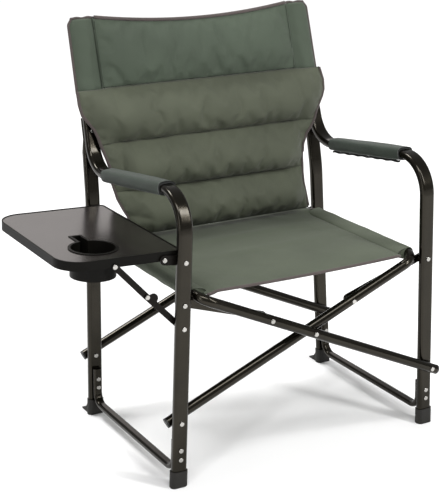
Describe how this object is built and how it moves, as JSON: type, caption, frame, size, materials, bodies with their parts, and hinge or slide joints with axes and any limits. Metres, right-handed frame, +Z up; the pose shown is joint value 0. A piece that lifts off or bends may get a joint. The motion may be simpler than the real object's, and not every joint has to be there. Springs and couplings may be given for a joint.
{
  "type": "folding camp chair",
  "caption": "Folding director's camp chair: tube side frames with arms, crossed seat frames, padded fabric back and seat, and a fold-down side table with a cup holder.",
  "frame": {"origin": "bottom centre of the whole chair's box, on the floor", "axes": "+Z up, -Y towards the sitter's front, +X towards the sitter's left hand; the side table is on -X"},
  "size_m": [0.8914, 0.5666, 0.906],
  "materials": {
    "frame_tube": "dark bronze powder coat",
    "black_steel": "satin black",
    "rivet_steel": "bright",
    "boot_rubber": "matt",
    "end_plastic": "matt",
    "sleeve_fabric": "woven polyester",
    "table_board": "satin",
    "cup_plastic": "satin",
    "seat_fabric": "woven polyester",
    "back_fabric": "padded woven polyester"
  },
  "bodies": {
    "left_side": {"left_side_tube": "frame_tube", "left_rear_leg": "frame_tube", "left_floor_runner": "frame_tube", "left_front_boot": "boot_rubber", "left_rear_boot": "boot_rubber", "left_arm_sleeve": "sleeve_fabric", "left_post_cap": "end_plastic", "left_back_pocket": "back_fabric", "left_frame_rivets": "rivet_steel", "left_pivot_rivets": "rivet_steel", "left_link_leg_rivets": "rivet_steel", "table_front_bracket": "black_steel", "table_rear_bracket": "black_steel", "table_bracket_rivets": "rivet_steel", "stay_leg_rivet": "rivet_steel", "back_panel": "back_fabric"},
    "right_seat_frame": {"right_seat_frame_tube": "frame_tube", "right_seat_frame_caps": "end_plastic", "right_link_tube_studs": "rivet_steel", "right_seat_pocket": "seat_fabric", "crossing_bolts": "rivet_steel", "seat_panel": "seat_fabric"},
    "left_seat_frame": {"left_seat_frame_tube": "frame_tube", "left_seat_frame_caps": "end_plastic", "left_link_tube_studs": "rivet_steel", "left_seat_pocket": "seat_fabric"},
    "right_side": {"right_side_tube": "frame_tube", "right_rear_leg": "frame_tube", "right_floor_runner": "frame_tube", "right_front_boot": "boot_rubber", "right_rear_boot": "boot_rubber", "right_arm_sleeve": "sleeve_fabric", "right_post_cap": "end_plastic", "right_back_pocket": "back_fabric", "right_frame_rivets": "rivet_steel", "right_pivot_rivets": "rivet_steel", "right_link_leg_rivets": "rivet_steel"},
    "left_links": {"left_link_bars": "frame_tube"},
    "right_links": {"right_link_bars": "frame_tube"},
    "table": {"table_board": "table_board", "table_rim": "table_board", "cup_holder": "cup_plastic", "table_rivets": "rivet_steel"},
    "stay_upper": {"stay_upper_bar": "black_steel"},
    "stay_lower": {"stay_lower_bar": "black_steel", "stay_elbow_button": "rivet_steel", "stay_catch": "black_steel"}
  },
  "joints": [
    {"name": "fold", "type": "hinge", "parent": "left_side", "child": "right_seat_frame", "pos_m": [-0.20675, -0.24965, 0.1434], "axis": [0, -1, 0], "range_deg": [0, 45.29], "deforming": ["seat_panel", "back_panel"]},
    {"name": "scissor", "type": "hinge", "parent": "right_seat_frame", "child": "left_seat_frame", "pos_m": [0.10726, -0.24965, 0.2867], "axis": [0, -1, 0], "range_deg": [-102.98, 0]},
    {"name": "right_side_pivot", "type": "hinge", "parent": "left_seat_frame", "child": "right_side", "pos_m": [0.42128, -0.24965, 0.1434], "axis": [0, -1, 0], "range_deg": [0, 45.34]},
    {"name": "left_link_swing", "type": "hinge", "parent": "left_side", "child": "left_links", "pos_m": [-0.19712, -0.24965, 0.4], "axis": [0, -1, 0], "range_deg": [0, 81.32]},
    {"name": "right_link_swing", "type": "hinge", "parent": "right_side", "child": "right_links", "pos_m": [0.41165, -0.24965, 0.4], "axis": [0, -1, 0], "range_deg": [-81.32, 0]},
    {"name": "table_fold", "type": "hinge", "parent": "left_side", "child": "table", "pos_m": [-0.23214, -0.24965, 0.4965], "axis": [0, -1, 0], "range_deg": [0, 90]},
    {"name": "stay_upper_swing", "type": "hinge", "parent": "table", "child": "stay_upper", "pos_m": [-0.33916, -0.24965, 0.50002], "axis": [0, -1, 0], "range_deg": [-168.55, 0]},
    {"name": "stay_lower_swing", "type": "hinge", "parent": "left_side", "child": "stay_lower", "pos_m": [-0.19899, -0.24965, 0.3501], "axis": [0, -1, 0], "range_deg": [0, 70.04]}
  ],
  "couplings": [
    {"joint": "scissor", "follows": "fold", "ratio": -2.2727},
    {"joint": "right_side_pivot", "follows": "fold", "ratio": 1},
    {"joint": "left_link_swing", "follows": "fold", "ratio": 1.7944},
    {"joint": "right_link_swing", "follows": "fold", "ratio": -1.7944},
    {"joint": "stay_upper_swing", "follows": "table_fold", "ratio": -1.8722},
    {"joint": "stay_lower_swing", "follows": "table_fold", "ratio": 0.7777}
  ]
}
